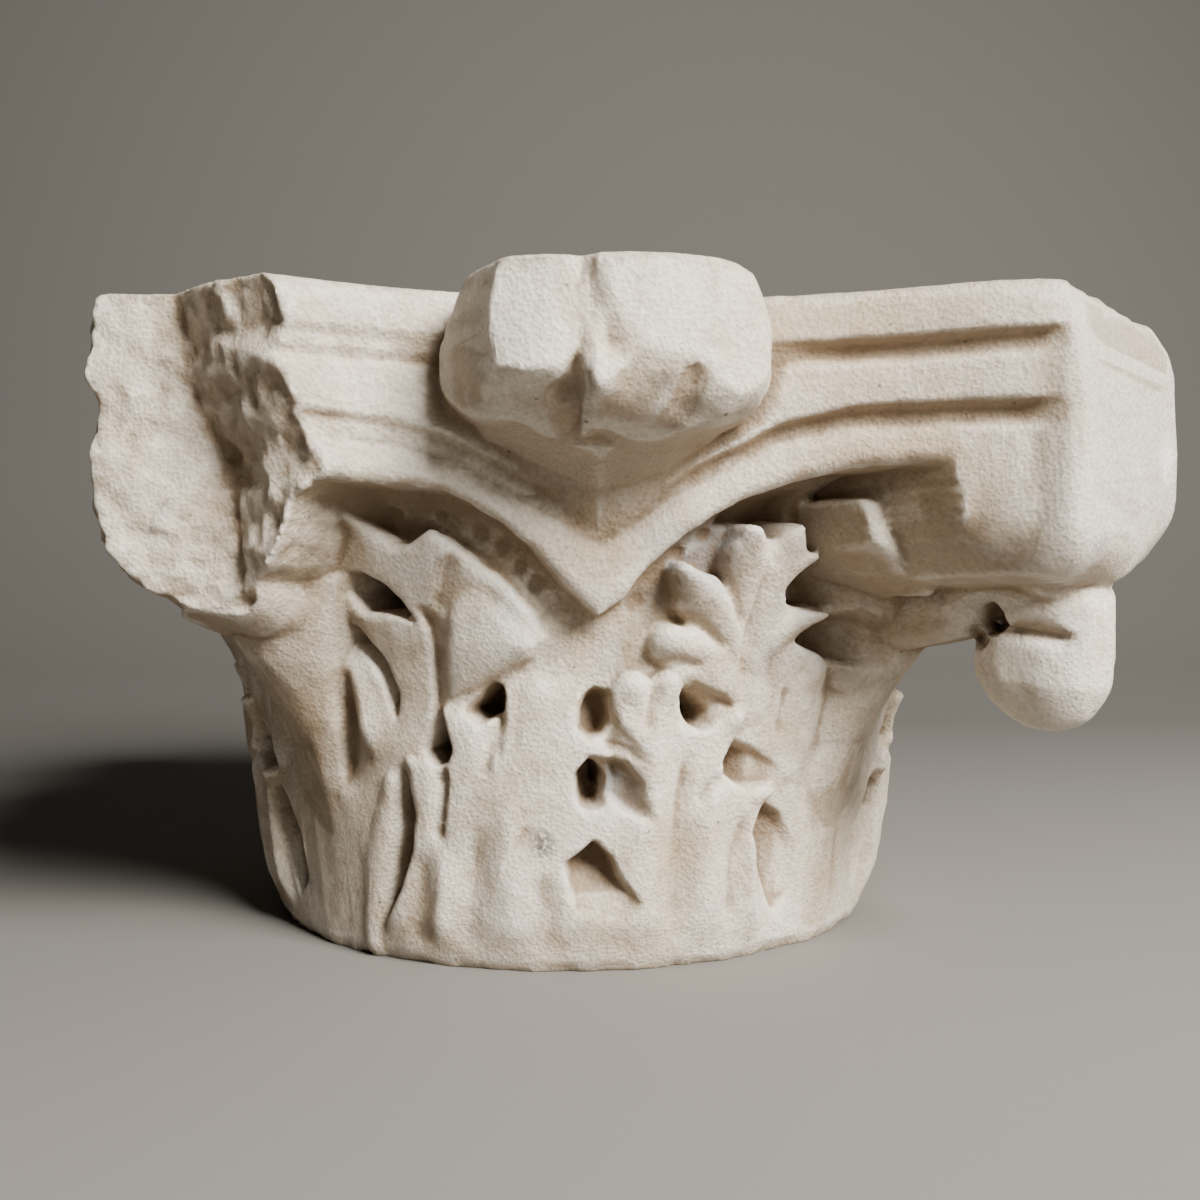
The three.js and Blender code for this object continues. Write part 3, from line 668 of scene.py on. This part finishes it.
# The horns and volutes: under each corner of the abacus an arm runs out of the bell, with a roll of
# stone over it, and ends in a drooping curl. They stand whole at three corners, and at the front left
# only the stump of the arm is left.
ROLL = [
    (112, 124, 12, 9, 2.2), (130, 125, 16, 8.5, 2.2), (144, 124, 24, 8, 2.1), (157, 118, 29, 8, 2.1),
    (168, 110.5, 27, 8, 2.1), (175, 105.5, 22, 7.5, 2.2), (179, 102, 14, 6, 2.4),
]
ARM = [
    (112, 107, 12, 20, 4), (130, 107.5, 12.5, 20, 4), (145, 107, 14, 17, 4), (158, 105, 16, 13, 3.6),
    (168, 102, 17, 10, 3), (178, 99, 15, 8, 2.5),
]
CURL = [
    (164, 67.5, 7, 6, 2.4), (165.5, 73, 11, 13, 2.4), (166.5, 80, 14, 16.5, 2.6),
    (166.5, 87, 14.5, 17, 2.6), (167, 93, 14.5, 16.8, 2.6), (167.5, 98, 15, 16.4, 2.4),
    (168, 103, 16, 15.5, 2.4), (168, 107, 16, 13, 2.4),
]
STUMP = [(112, 104, 18, 18, 3), (130, 108, 22, 17, 3), (150, 112, 25, 13, 3), (176, 114, 25, 9, 3)]


def sweep(stations, corner, steps=120, sides=96):
    """Closed body along a path in the upright plane through a corner. A station gives the reach from the
    axis, the height, half the width, half the depth and the power p of the rounded section there,
    |a / wide|^p + |b / deep|^p = 1, square to the path, with a across the plane and b within it."""
    knots = np.linspace(0.0, 1.0, len(stations))
    t = np.linspace(0.0, 1.0, steps)
    reach_at, z_at, wide_at, deep_at, power_at = (np.interp(t, knots, column) for column in zip(*stations))
    window = np.hanning(steps // len(stations) * 2 + 3)
    pad = len(window) // 2

    def rounded(values):
        padded = np.pad(values, pad, mode="reflect", reflect_type="odd")
        return np.convolve(padded, window / window.sum(), "valid")

    reach_at, z_at = rounded(reach_at), rounded(z_at)
    along = np.stack([np.gradient(reach_at), np.gradient(z_at)], -1)
    along /= np.linalg.norm(along, axis=1, keepdims=True)
    close = np.sqrt(np.clip(1.0 - np.abs(2.0 * t - 1.0) ** 24, 0.0004, 1.0))
    turn = np.linspace(0.0, 2.0 * np.pi, sides, endpoint=False)
    c, s = np.cos(turn), np.sin(turn)
    a = np.sign(c) * np.abs(c) ** (2.0 / power_at[:, None]) * (wide_at * close)[:, None]
    b = np.sign(s) * np.abs(s) ** (2.0 / power_at[:, None]) * (deep_at * close)[:, None]
    rho = reach_at[:, None] - b * along[:, 1:2]
    up = z_at[:, None] + b * along[:, 0:1]
    across = np.array([np.cos(corner), np.sin(corner), 0.0])
    return about_axis(rho, corner, up) + a[..., None] * across


rings += [broken(sweep(ROLL, -np.pi / 4)), broken(sweep(STUMP, -np.pi / 4))]
for corner in np.radians([45.0, 135.0, 225.0]):
    rings += [sweep(ROLL, corner), sweep(ARM, corner), sweep(CURL, corner)]


# One stone: the bell, the horns and the volutes are joined into a single skin, its edges are worn
# round, and the small drill holes are sunk into it.
def one_mesh(name, bodies):
    """A mesh of closed bodies, each given as rings of points: neighbours in a ring and in the next ring make
    four-sided faces, and the first and last rings are closed flat."""
    points, loops, totals, base = [], [], [], 0
    for body in bodies:
        rows, columns = body.shape[:2]
        index = np.arange(rows * columns).reshape(rows, columns) + base
        right = np.roll(index, -1, axis=1)
        faces = np.stack([index[:-1], right[:-1], right[1:], index[1:]], -1).reshape(-1, 4)
        loops += [faces.ravel(), index[0][::-1], index[-1]]
        totals += [np.full(len(faces), 4), [columns, columns]]
        points.append(body.reshape(-1, 3))
        base += rows * columns
    points, loops, totals = np.concatenate(points) * 0.001, np.concatenate(loops), np.concatenate(totals)
    mesh = bpy.data.meshes.new(name)
    mesh.vertices.add(len(points))
    mesh.vertices.foreach_set("co", points.astype(np.float32).ravel())
    mesh.loops.add(len(loops))
    mesh.loops.foreach_set("vertex_index", loops.astype(np.int32))
    mesh.polygons.add(len(totals))
    mesh.polygons.foreach_set("loop_start", np.concatenate([[0], np.cumsum(totals)[:-1]]).astype(np.int32))
    mesh.polygons.foreach_set("loop_total", totals.astype(np.int32))
    mesh.update(calc_edges=True)
    return mesh


def placed(name, data):
    """A new object in the scene that shows the given data."""
    item = bpy.data.objects.new(name, data)
    bpy.context.scene.collection.objects.link(item)
    return item


def read(values, key, width, kind=np.float32):
    """One measure of every vertex or edge as an array, with a row for each."""
    found = np.empty(len(values) * width, kind)
    values.foreach_get(key, found)
    return found.reshape(-1, width)


def worked(piece):
    """Makes the piece's modifiers final."""
    held = piece.evaluated_get(bpy.context.evaluated_depsgraph_get())
    mesh = bpy.data.meshes.new_from_object(held)
    piece.modifiers.clear()
    piece.data = mesh


capital = placed("carved_capital", one_mesh("carved_capital", rings))
skin = capital.modifiers.new("one skin", "REMESH")
skin.mode = "VOXEL"
skin.voxel_size = 0.0008
skin.adaptivity = 0.0
worn = capital.modifiers.new("worn edges", "SMOOTH")
worn.factor = 0.5
worn.iterations = 3
worked(capital)

co = read(capital.data.vertices, "co", 3).astype(float) * 1000.0
LOW, HIGH = np.array([list(corner) for corner in cad_box]) * 1000.0
TRIANGLES = 190000
CORNER = np.array([np.sin(np.pi / 4), -np.cos(np.pi / 4), 0.0])
TOWARDS = np.array([-np.cos(np.pi / 4), -np.sin(np.pi / 4), 0.0])


def drill(at, direction, radius, depth):
    """Sinks the skin round a point along a direction: by depth within the radius, falling to nothing 1.2 mm
    beyond it as depth * (1 - over / 1.2)."""
    at, direction = np.array(at, float), np.array(direction, float)
    direction /= np.linalg.norm(direction)
    away = co - at
    along = away @ direction
    off = np.linalg.norm(away - along[:, None] * direction, axis=1)
    sink = depth * np.clip(1.0 - np.maximum(off - radius, 0.0) / 1.2, 0.0, 1.0) * (np.abs(along) < 9.0)
    co[:] = co + sink[:, None] * direction


drill(CORNER * 157.5 + TOWARDS * 12 + [0, 0, 96.5], -TOWARDS, 3.6, 10.0)
drill(CORNER * 153.5 + TOWARDS * 12 + [0, 0, 92], -TOWARDS, 2.8, 5.0)
out_at, across = co @ CORNER, co @ TOWARDS
furrow = np.exp(-(((co[:, 2] - 93.5 + 0.15 * (out_at - 165.0)) / 1.9) ** 2))
furrow *= eased(out_at, 156.0, 162.0) * (1.0 - eased(out_at, 174.0, 181.0))
co -= (2.6 * furrow * (across > 3.0) * (across < 26.0))[:, None] * TOWARDS
DIMPLES = [
    (-47, 126), (-36, 124), (-27, 119), (-22, 114), (-17.5, 108), (-14, 103), (9, 98), (19, 112), (25, 118),
]
for s, z in DIMPLES:
    outward = np.array([np.sin(s / GIRTH), -np.cos(s / GIRTH), 0.0])
    radius, sunk = 1.6 + 0.25 * np.sin(3.0 * s), 0.9 + 0.2 * np.cos(5.0 * s)
    drill(117 * outward + [0, 0, z], [0, 0, 0.6] - 0.8 * outward, radius, sunk)

co = np.clip(co, LOW, HIGH)
capital.data.vertices.foreach_set("co", (co * 0.001).astype(np.float32).ravel())
capital.data.update()
thin = capital.modifiers.new("fewer faces", "DECIMATE")
thin.ratio = min(1.0, TRIANGLES / (2.0 * len(capital.data.polygons)))
worked(capital)

# Weather and earth: the skin is pitted by wear, roughest on the bosses and where the stone broke. Every
# point keeps how deep it lies, for earth and painted shade in the hollows, and how far it faces down or
# left, for painted shade on the sides turned away from the lamp.
mesh = capital.data
count = len(mesh.vertices)
co = read(mesh.vertices, "co", 3).astype(float) * 1000.0
normal = read(mesh.vertices, "normal", 3).astype(float)
edges = read(mesh.edges, "vertices", 2, np.int32)
one, other = edges.T
neighbours = np.maximum(np.bincount(edges.ravel(), minlength=count), 1)


def evened(points, rounds):
    """The points after rounds that each move every point 0.6 of the way to the mean of its neighbours."""
    points = points.copy()
    for _ in range(rounds):
        for axis in range(3):
            value = points[:, axis]
            total = np.bincount(one, value[other], count) + np.bincount(other, value[one], count)
            points[:, axis] = 0.4 * value + 0.6 * total / neighbours
    return points


def depth_below(rounds):
    """How deep each point lies, in mm, below the skin evened out over the given rounds."""
    return np.einsum("ij,ij->i", evened(co, rounds) - co, normal)


# Painted shade: how far each point faces down or to the left, away from the lamp, kept so that the material
# can brown these sides as their shade.
painted_shade_facing = np.clip(-normal[:, 2] + 0.55 * np.clip(-normal[:, 0], 0.0, 1.0), 0.0, 1.0)
for name, value in (("hollow", depth_below(8)), ("deep", depth_below(90)), ("under", painted_shade_facing)):
    layer = mesh.attributes.new(name, "FLOAT", "POINT")
    layer.data.foreach_set("value", value.astype(np.float32))
torn = eased(-co[:, 0] - 0.35 * co[:, 1] - 101.0, 0.0, 6.0) * eased(co[:, 2], 98.0, 106.0)
torn *= co[:, 1] < -40.0
bed = eased(co[:, 2], 0.3, 2.5) * (1.0 - eased(co[:, 2], HEIGHT - 1.2, HEIGHT - 0.3))
knocked = eased(np.hypot(co[:, 0], co[:, 1]), 136.0, 150.0) * (np.abs(co[:, 0]) < 45.0)
pits = (0.45 + 0.8 * knocked) * roughness(co, 9.0, 11)
pits += (0.28 + 0.5 * knocked + 0.3 * torn) * roughness(co, 4.2, 12)
pits += (0.12 + 0.5 * torn) * roughness(co, 2.4, 13)
co += normal * (pits * bed)[:, None]
co = np.clip(co, LOW, HIGH)
mesh.vertices.foreach_set("co", (co * 0.001).astype(np.float32).ravel())
mesh.update()
mesh.polygons.foreach_set("use_smooth", np.ones(len(mesh.polygons), bool))
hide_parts("capital")
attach(capital, "root")


# The marble: coarse sugary crystals, warm white where it is worn, with a beige skin, brown earth in the
# hollows and a few grey-blue veins under the lip. Painted shade darkens the hollows, browns the sides that
# face down or left and tints the soffit slate-blue, and the raised edges are paler, partly as a painted
# highlight.
WORN_WHITE = (0.78, 0.715, 0.62)
BEIGE = (0.70, 0.615, 0.50)
BROWN_SKIN = (0.50, 0.385, 0.26)
GREY_SKIN = (0.33, 0.29, 0.245)
VEIN_GREY = (0.40, 0.41, 0.44)
SLATE_BLUE_SHADE = (0.27, 0.285, 0.32)
PAINTED_SHADE_BROWN = (0.27, 0.18, 0.10)
EARTH_AND_SHADE = (0.17, 0.11, 0.06)
DEEP_HOLE_SHADE = (0.03, 0.02, 0.012)
CREASE_EARTH_AND_SHADE = (0.25, 0.17, 0.10)
RUBBED_WHITE_AND_HIGHLIGHT = (0.88, 0.84, 0.77)
BED_BROWN = (0.31, 0.215, 0.125)
SPECK_BLACK = (0.05, 0.04, 0.03)
FRESH_WHITE = (0.86, 0.85, 0.82)
SOOT = (0.04, 0.035, 0.03)


class Flow:
    """A value on its way through a material: it adds, subtracts and multiplies like a number."""

    def __init__(self, socket):
        self.socket = socket

    def math(self, operation, *others):
        return sheet.add("ShaderNodeMath", {"operation": operation}, dict(enumerate([self, *others])))

    def __add__(self, other):
        return self.math("ADD", other)

    def __radd__(self, other):
        return self.math("ADD", other)

    def __mul__(self, other):
        return self.math("MULTIPLY", other)

    def __rmul__(self, other):
        return self.math("MULTIPLY", other)

    def __sub__(self, other):
        return self.math("SUBTRACT", other)

    def __rsub__(self, other):
        return self.math("MULTIPLY", -1.0).math("ADD", other)

    def __neg__(self):
        return self.math("MULTIPLY", -1.0)

    def between(self, low, high):
        """0 below low, 1 above high, eased between."""
        how = {"interpolation_type": "SMOOTHSTEP", "clamp": True}
        return sheet.add("ShaderNodeMapRange", how, {0: self, 1: low, 2: high, 3: 0.0, 4: 1.0})


class Sheet:
    """The nodes of one material."""

    def __init__(self, name):
        self.material = bpy.data.materials.new(name)
        self.material.use_nodes = True
        self.nodes = self.material.node_tree.nodes
        self.links = self.material.node_tree.links
        self.stone = self.nodes["Principled BSDF"]

    def set(self, socket, value):
        """Links or sets one socket, with full cover added to a colour."""
        if isinstance(value, Flow):
            self.links.new(value.socket, socket)
        else:
            socket.default_value = (*value, 1.0) if socket.type == "RGBA" else value

    def add(self, kind, settings, inputs, output=0):
        """A node of any kind with its settings and the values or links of its sockets; gives one output."""
        node = self.nodes.new(kind)
        for key, value in settings.items():
            setattr(node, key, value)
        for key, value in inputs.items():
            self.set(node.inputs[key], value)
        return Flow(node.outputs[output])

    def noise(self, size, detail=4.0, shift=0.0, rough=0.6):
        """Cloudy variation from 0 to 1 with clouds of the given size in mm."""
        moved = (shift, 0.7 * shift, -shift)
        place = self.add("ShaderNodeVectorMath", {"operation": "ADD"}, {0: self.place, 1: moved})
        clouds = {"Vector": place, "Scale": 1000.0 / size, "Detail": detail, "Roughness": rough}
        return self.add("ShaderNodeTexNoise", {}, clouds)

    def patch(self, at, size):
        """1 at a place given in mm, falling to 0 at the given distance from it."""
        at = tuple(0.001 * v for v in at)
        away = self.add("ShaderNodeVectorMath", {"operation": "DISTANCE"}, {0: self.place, 1: at}, 1)
        return 1.0 - away.between(0.0003 * size, 0.001 * size)

    def blend(self, share, first, second):
        """The first colour where share is 0 and the second where it is 1."""
        return self.add("ShaderNodeMix", {"data_type": "RGBA"}, {0: share, 6: first, 7: second}, 2)

    def crystals(self, per_metre, output):
        """Irregular cells: the distance from the middle of a cell, or a random colour for each cell."""
        cells = {"Vector": self.place, "Scale": per_metre}
        return self.add("ShaderNodeTexVoronoi", {"feature": "F1"}, cells, output)


sheet = Sheet("marble")
sheet.place = sheet.add("ShaderNodeTexCoord", {}, {}, "Object")
x_at = sheet.add("ShaderNodeSeparateXYZ", {}, {0: sheet.place}, "X")
z_at = sheet.add("ShaderNodeSeparateXYZ", {}, {0: sheet.place}, "Z")
hollow = sheet.add("ShaderNodeAttribute", {"attribute_name": "hollow"}, {}, "Fac")
deep = sheet.add("ShaderNodeAttribute", {"attribute_name": "deep"}, {}, "Fac")
under = sheet.add("ShaderNodeAttribute", {"attribute_name": "under"}, {}, "Fac")
cloud = sheet.noise(60.0)
drift = sheet.noise(26.0, 6.0, 0.3)
fleck = sheet.noise(7.0, 5.0, 0.7, 0.7)
grain = sheet.noise(1.6, 2.0, 0.1)
crystals = sheet.crystals(850.0, "Distance")
facets = sheet.crystals(850.0, "Color")

skin = sheet.blend(cloud.between(0.35, 0.65), WORN_WHITE, BEIGE)
upper = z_at.between(0.118, 0.15) * x_at.between(0.0, 0.09)
patina = (drift + 0.35 * fleck + 0.34 * upper).between(0.58, 0.9)
skin = sheet.blend(patina * 0.72, skin, BROWN_SKIN)
horn_end = x_at.between(0.08, 0.115) * z_at.between(0.098, 0.118) * (0.55 + 0.5 * (drift - 0.5))
skin = sheet.blend(horn_end, skin, GREY_SKIN)
veined = z_at.between(0.06, 0.1) * (1.0 - z_at.between(0.118, 0.13))
vein = sheet.noise(20.0, 3.0, 0.5).between(0.5, 0.72) * veined
skin = sheet.blend(vein * 0.5, skin, VEIN_GREY)
# Painted shade: a slate-blue tint in the soffit right of the point of the lip and in a hollow between the
# lower leaves.
painted_blue_shade = sheet.patch((24, -114, 113), 19.0) + sheet.patch((7, -101, 51), 11.0)
skin = sheet.blend(painted_blue_shade * (drift + 0.2 * fleck).between(0.35, 0.6) * 0.75, skin, SLATE_BLUE_SHADE)
# Painted shade: brown laid on the sides that face down or left, standing for their shadow.
painted_side_shade = (under + (fleck - 0.5) * 0.5).between(0.15, 0.85)
skin = sheet.blend(painted_side_shade * 0.72, skin, PAINTED_SHADE_BROWN)
# Brown in the deeper hollows: partly earth settled there, partly painted shade.
earth_and_shade = (deep + (fleck - 0.5) * 1.6).between(0.5, 3.0)
skin = sheet.blend(earth_and_shade * 0.8, skin, EARTH_AND_SHADE)
# Painted shade: near black in the deepest drill holes, standing for the shadow inside them.
painted_hole_shade = (deep + (fleck - 0.5) * 1.2).between(2.6, 5.5)
skin = sheet.blend(painted_hole_shade * 0.92, skin, DEEP_HOLE_SHADE)
# Brown in the fine creases: partly earth along the edges of the recesses, partly painted shade.
crease = (hollow + (fleck - 0.5) * 0.3).between(0.08, 0.5)
skin = sheet.blend(crease * 0.6, skin, CREASE_EARTH_AND_SHADE)
# Paler on the raised edges: partly rubbed clean by wear, partly a painted highlight.
rubbed_and_highlit = (-hollow).between(0.1, 0.5)
skin = sheet.blend(rubbed_and_highlit * 0.4, skin, RUBBED_WHITE_AND_HIGHLIGHT)
foot = 1.0 - (z_at + (fleck - 0.5) * 0.006).between(0.0, 0.0045)
head = (z_at + (fleck - 0.5) * 0.008).between(0.1725, 0.177)
skin = sheet.blend((foot + head) * 0.55, skin, BED_BROWN)
specks = (1.0 - sheet.crystals(170.0, "Distance").between(0.05, 0.13)) * fleck.between(0.52, 0.6)
skin = sheet.blend(specks * 0.75, skin, SPECK_BLACK)
chip = sheet.patch((152, -116.5, 138), 9.0) * fleck.between(0.35, 0.5)
skin = sheet.blend(chip * 0.8, skin, FRESH_WHITE)
soot = sheet.patch((-14, -108, 36), 6.5) * sheet.noise(1.5, 3.0, 0.9, 0.7).between(0.43, 0.5)
skin = sheet.blend(soot * 0.85, skin, SOOT)
tone = 0.72 + 0.26 * grain + 0.12 * crystals + 0.26 * facets
skin = sheet.add("ShaderNodeVectorMath", {"operation": "SCALE"}, {0: skin, "Scale": tone})
sheet.set(sheet.stone.inputs["Base Color"], skin)
sheet.set(sheet.stone.inputs["Roughness"], 0.26 + 0.2 * grain + 0.34 * facets + 0.2 * earth_and_shade)
relief = sheet.noise(4.5, 9.0, 0.2, 0.78) + crystals * 0.3
bump = sheet.add("ShaderNodeBump", {}, {"Strength": 0.85, "Distance": 0.0012, "Height": relief})
sheet.set(sheet.stone.inputs["Normal"], bump)
sheet.stone.inputs["Subsurface Weight"].default_value = 0.08
sheet.stone.inputs["Subsurface Radius"].default_value = (1.0, 0.7, 0.5)
sheet.stone.inputs["Subsurface Scale"].default_value = 0.002
capital.data.materials.clear()
capital.data.materials.append(sheet.material)

# The ground it stands on: one sheet of pale matt paper, which lies flat under the capital and curves up
# behind it into a plain wall.
depth = np.array([-1.6, 0.55, 0.8, 1.0, 1.12, 1.16, 1.18])
rise = np.array([0.0, 0.0, 0.03, 0.13, 0.3, 0.6, 2.4])
edge = np.array([-2.6, 2.6])
points = [(x, y, z) for x in edge for y, z in zip(depth, rise)]
faces = [(k, k + len(depth), k + len(depth) + 1, k + 1) for k in range(len(depth) - 1)]
floor_mesh = bpy.data.meshes.new("floor")
floor_mesh.from_pydata(points, [], faces)
floor = placed("floor", floor_mesh)
floor_mesh.polygons.foreach_set("use_smooth", np.ones(len(faces), bool))
paper = bpy.data.materials.new("pale floor")
paper.use_nodes = True
paper.node_tree.nodes["Principled BSDF"].inputs["Base Color"].default_value = (0.2, 0.194, 0.18, 1.0)
paper.node_tree.nodes["Principled BSDF"].inputs["Roughness"].default_value = 0.9
floor_mesh.materials.append(paper)

# Light: one large soft lamp, 0.6 m across and a little warm, stands high in front on the right, and a
# weak even light comes from all round.
lamp = bpy.data.lights.new("soft lamp", "AREA")
lamp.shape = "DISK"
lamp.size = 0.6
lamp.energy = 58.0
lamp.color = (1.0, 0.958, 0.89)
lamp_object = placed("soft lamp", lamp)
lamp_object.location = (0.62, -0.96, 0.80)
lamp_aim = Vector((0, 0, 0.1)) - lamp_object.location
lamp_object.rotation_euler = lamp_aim.to_track_quat("-Z", "Y").to_euler()
world = bpy.data.worlds.new("even light")
world.use_nodes = True
world.node_tree.nodes["Background"].inputs["Color"].default_value = (0.62, 0.6, 0.58, 1.0)
world.node_tree.nodes["Background"].inputs["Strength"].default_value = 0.018
bpy.context.scene.world = world

# The camera stands where the photograph was taken, about 0.42 m in front and a little to the left. It
# looks level and 4 degrees to the right, with a lens as long as its picture is wide.
camera = bpy.data.cameras.new("camera")
camera.sensor_width = 36.0
camera.lens = 36.0
camera.clip_start = 0.01
camera_object = placed("camera", camera)
camera_object.location = (-0.02219, -0.42353, 0.10121)
camera_object.rotation_euler = Vector((0.07498, 0.99719, 0.0)).to_track_quat("-Z", "Y").to_euler()
bpy.context.scene.camera = camera_object
